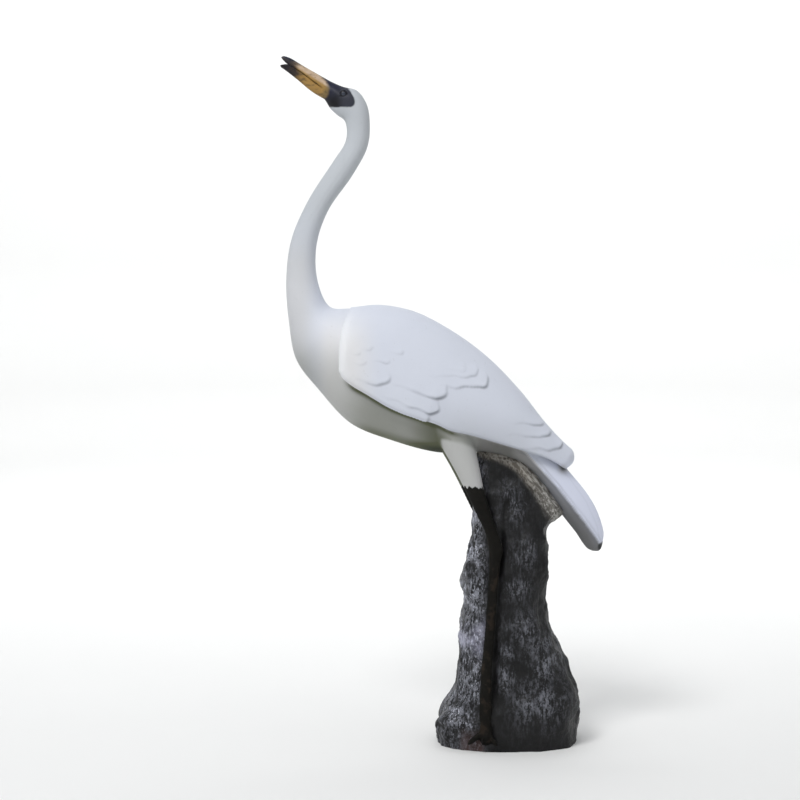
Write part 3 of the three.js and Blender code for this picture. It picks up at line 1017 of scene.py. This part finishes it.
# %% Paint the beak
beak_root = (-0.316, 1.145)
lean, rise = -0.851, 0.525
from_root, over_root = x - beak_root[0], z - beak_root[1]
along = from_root * lean + over_root * rise
across = from_root * rise - over_root * lean
streak = paint.noise(paint.stretched(place, (90, 90, 200)), 1.0, 3.0)
bow = (z - 1.142) * (z - 1.142) * 25
beak = paint.rises(x + wave + bow, -0.3105, -0.3185)
beak = beak * paint.rises(z, 1.1250, 1.1310)
ochre = paint.blend(streak, shade(168, 130, 70), shade(136, 112, 70))
cream = paint.blend(streak, shade(196, 176, 154), shade(168, 142, 114))
horn = paint.blend(paint.rises(across, -0.001, 0.005), ochre, cream)
base = paint.rises(along, 0.008, 0.000)
horn = paint.blend(base * 0.5, horn, shade(92, 88, 66))
tip_from = 0.068 + paint.rises(across, 0.004, -0.004) * -0.014
tip = paint.rises(along - tip_from + streak * 0.016, -0.008, 0.020)
horn = paint.blend(tip, horn, shade(40, 37, 40))
dirt = paint.rises(streak, 0.52, 0.66)
horn = paint.blend(dirt * 0.5, horn, shade(64, 52, 42))
colour = paint.blend(beak, colour, horn)
print("with the beak there are", len(paint.tree.nodes), "nodes")

# %% Give the bird its paint
gloss = 0.50 - mask * 0.10 + leg * 0.22 - beak * 0.14 + shade_and_grime * 0.2
relief = brush * 0.25 + fleck * 0.35
crane_paint = paint.finish(
    Base_Color=colour, Roughness=gloss + cloud * 0.08, Specular_IOR_Level=0.18, bump=relief,
    bump_depth=0.0006,
)
for piece in (body, wings, upper_beak, lower_beak):
    piece.data.materials.clear()
    piece.data.materials.append(crane_paint)
print("bird paint has", len(crane_paint.node_tree.nodes), "nodes")

# %% [markdown]
# ## The eyes' finish
#
# The dome is painted a lighter slate in the middle with a dark rim, and varnished, so it catches
# a small highlight.

# %% Mix the eyes' finish
def eye_finish():
    finish = Finish("varnished eye")
    place = finish.places()
    x, y, z = finish.axes(place)
    right, up = x - eye_place.x, z - eye_place.z
    distance = (right * right + up * up) ** 0.5
    fleck = finish.noise(place, 900.0, 2.0)
    iris = finish.blend(fleck, shade(60, 65, 76), shade(46, 50, 61))
    lid = finish.blend(fleck, shade(26, 28, 38), shade(34, 36, 47))
    ring = finish.rises(distance, 0.0028, 0.0040)
    colour = finish.blend(ring, iris, shade(15, 16, 22))
    colour = finish.blend(finish.rises(distance, 0.0052, 0.0060), colour, lid)
    return finish.finish(
        Base_Color=colour, Roughness=0.34 + fleck * 0.1, Specular_IOR_Level=0.3, bump=fleck,
        bump_depth=0.0001,
    )


eyes.data.materials.append(eye_finish())
print("eyes are painted")

# %% [markdown]
# ## The rock's finish
#
# The rock is cast with the rest and painted nearly black, then dry-brushed with silver grey so
# that the ridges catch it, and varnished in places. Four kept numbers guide the brush:
# `hollow_shade` says where the skin dips between ridges, which are darkened as painted shade,
# `silver` where the masses stand forward, `brim` where the rock's upper edge is worn to a pale
# brown, and `vein` where fine pale lines run along that edge. The left side takes more silver and a
# pale band, partly dry-brushing and partly painted light for the light that falls on that side. A
# brown stain lies at the foot.

# %% Lay out the rock's brushes
coat = Finish("dark varnished rock")
place = coat.places()
x, y, z = coat.axes(place)
hollow_shade = coat.kept("hollow_shade")
silver = coat.kept("silver")
cloud = coat.noise(place, 14.0, 4.0)
patch = coat.noise(place, 34.0, 3.0)
grain = coat.noise(place, 300.0, 3.0, 0.6)
bark = coat.noise(coat.stretched(place, (170, 170, 48)), 1.0, 5.0, 0.65)
print("the rock's brushes take", len(coat.tree.nodes), "nodes")

# %% Paint the rock dark and brush it with silver
deep = coat.blend(cloud, shade(12, 12, 12), shade(28, 28, 29))
colour = coat.blend(coat.rises(bark, 0.48, 0.78) * 0.4, deep, shade(54, 54, 58))
# The left side, where the light falls, takes more silver: partly dry-brushing, partly painted
# light.
left = coat.rises(x, -0.030, -0.060) * (1 - coat.rises(z, 0.175, 0.150) * 0.35)
low = coat.rises(z, 0.270, 0.200) * coat.rises(x, -0.026, -0.004)
brushed = (silver + left * 0.75) * coat.rises(patch, 0.30, 0.56)
stroke = coat.rises(bark * 0.7 + grain * 0.3, 0.44, 0.60) * brushed
colour = coat.blend(stroke * (0.32 + left * 0.53 + low * 0.34), colour, shade(132, 134, 143))
dabs = coat.noise(coat.stretched(place, (330, 330, 120)), 1.0, 3.0, 0.6)
speckle = coat.rises(dabs, 0.53, 0.68) * brushed
colour = coat.blend(speckle * (0.20 + left * 0.60), colour, shade(196, 198, 210))
uneven = z + (cloud - 0.5) * 0.12
# A pale band on the left side, partly painted light.
pale = coat.rises(uneven, 0.150, 0.190) * coat.rises(uneven, 0.235, 0.200) * left
pale = pale * coat.rises(y, 0.000, -0.035) * coat.rises(patch, 0.30, 0.62)
colour = coat.blend(pale * 0.55, colour, shade(172, 172, 194))
# Painted shade: the dips are darkened nearly to black.
colour = coat.blend(coat.rises(hollow_shade, 0.55, 0.80) * 0.75, colour, shade(12, 12, 12))
print("with the silver there are", len(coat.tree.nodes), "nodes")

# %% Wear the brim and stain the foot
brim = coat.kept("brim")
along, across = x * 0.66 - z * 0.75, x * 0.75 + z * 0.66
flow = coat.add("CombineXYZ", None, {0: along * 60, 1: y * 90, 2: across * 200})
flowing = coat.noise(flow, 1.0, 4.0, 0.6)
shoulder = coat.rises(x, 0.015, 0.070)
brown = coat.blend(shoulder, shade(96, 90, 83), shade(102, 99, 94))
stain = coat.blend(coat.rises(flowing, 0.42, 0.66) * 0.45, brown, shade(132, 128, 121))
streaks = coat.rises(dabs * 0.4 + flowing * 0.6, 0.47, 0.55) * (1 - shoulder)
stain = coat.blend(streaks * 0.7, stain, shade(164, 159, 150))
light = coat.kept("vein") * coat.rises(flowing, 0.36, 0.52)
flecks = shoulder * coat.rises(dabs * 0.5 + flowing * 0.5, 0.49, 0.58) * 0.85
stain = coat.blend(light * 0.8, stain, shade(182, 179, 172))
stain = coat.blend(flecks, stain, shade(196, 194, 190))
worn = coat.rises(brim + (patch - 0.5) * 0.5, 0.15, 1.05)
colour = coat.blend(worn * 0.92, colour, stain)
foot = coat.rises(z, 0.045, 0.015) * coat.rises(x, -0.042, -0.052)
foot = foot * coat.rises(x, -0.092, -0.080)
colour = coat.blend(foot * 0.45, colour, shade(82, 60, 56))
print("with the brim and the foot there are", len(coat.tree.nodes), "nodes")

# %% Give the rock its finish
gloss = 0.60 - coat.rises(cloud, 0.4, 0.65) * 0.22 + speckle * 0.1
relief = bark * 0.6 + grain * 0.4
rock_finish = coat.finish(
    Base_Color=colour, Roughness=gloss, Specular_IOR_Level=0.22, bump=relief,
    bump_depth=0.0018,
)
rock.data.materials.clear()
rock.data.materials.append(rock_finish)
print("rock finish has", len(rock_finish.node_tree.nodes), "nodes")

# %% [markdown]
# ## Which piece stands for what
#
# The frame's flat-faced nodes are hidden, and each new piece is attached to the root, which it
# moves with. Nothing on the statue moves, so all ride the root.

# %% Hand the pieces to the frame
for piece in (body, wings, upper_beak, lower_beak, eyes):
    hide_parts("crane")
    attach(piece, "root")
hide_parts("rock_stand")
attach(rock, "root")
print("pieces handed over")

# %% [markdown]
# ## Floor and light
#
# A pale floor that curves up into a wall all round leaves no horizon in any view. A soft lamp
# high on the left gives the rolled wing edge its bright line, a second one lights the wall
# behind, and the sky fills the rest.

# %% Lay the floor
def dull(name, colour):
    finish = Finish(name)
    place = finish.places()
    tone = finish.noise(place, 3.0)
    paint = finish.blend(tone, colour, tuple(c * 0.98 for c in colour[:3]) + (1,))
    return finish.finish(Base_Color=paint, Roughness=0.9)


bm = bmesh.new()
profile = [(0, 0), (4.2, 0), (4.9, 0.2), (5.2, 0.7), (5.3, 4.5)]
marks = [bm.verts.new((r, 0, h)) for r, h in profile]
rods = [bm.edges.new(pair) for pair in zip(marks[:-1], marks[1:])]
bmesh.ops.spin(
    bm, geom=marks + rods, cent=(0, 0, 0), axis=(0, 0, 1), angle=2 * math.pi, steps=64,
    use_merge=True,
)
bmesh.ops.remove_doubles(bm, verts=bm.verts, dist=1e-4)
floor = piece_from(bm, "floor")
floor.data.flip_normals()
floor.data.materials.append(dull("pale floor", shade(236, 236, 235)))
print("the floor reaches", profile[-1][0], "m out and", profile[-1][1], "m up")


# %% Hang the lamps and light the sky
def soft_lamp(name, size, energy, place, target):
    lamp = bpy.data.objects.new(name, bpy.data.lights.new(name, "AREA"))
    lamp.data.size = size
    lamp.data.energy = energy
    lamp.location = place
    aim = Vector(target) - lamp.location
    lamp.rotation_euler = aim.to_track_quat("-Z", "Y").to_euler()
    lamp.visible_camera = False
    bpy.context.scene.collection.objects.link(lamp)
    print(name, "at", place)


soft_lamp("lamp on the bird", size=1.3, energy=88, place=(-1.5, -2.3, 3.7), target=(-0.1, 0, 0.6))
soft_lamp("lamp on the wall", size=2.4, energy=90, place=(0, 1.6, 3.4), target=(0, 5.3, 0.9))

sky_colour, sky_strength = (0.95, 0.97, 1.0, 1), 0.62
sky = bpy.data.worlds.new("sky")
sky.use_nodes = True
sky_inputs = sky.node_tree.nodes["Background"].inputs
sky_inputs["Color"].default_value = sky_colour
sky_inputs["Strength"].default_value = sky_strength
bpy.context.scene.world = sky
bpy.context.scene.view_settings.view_transform = "Standard"
print("sky strength", sky_strength)
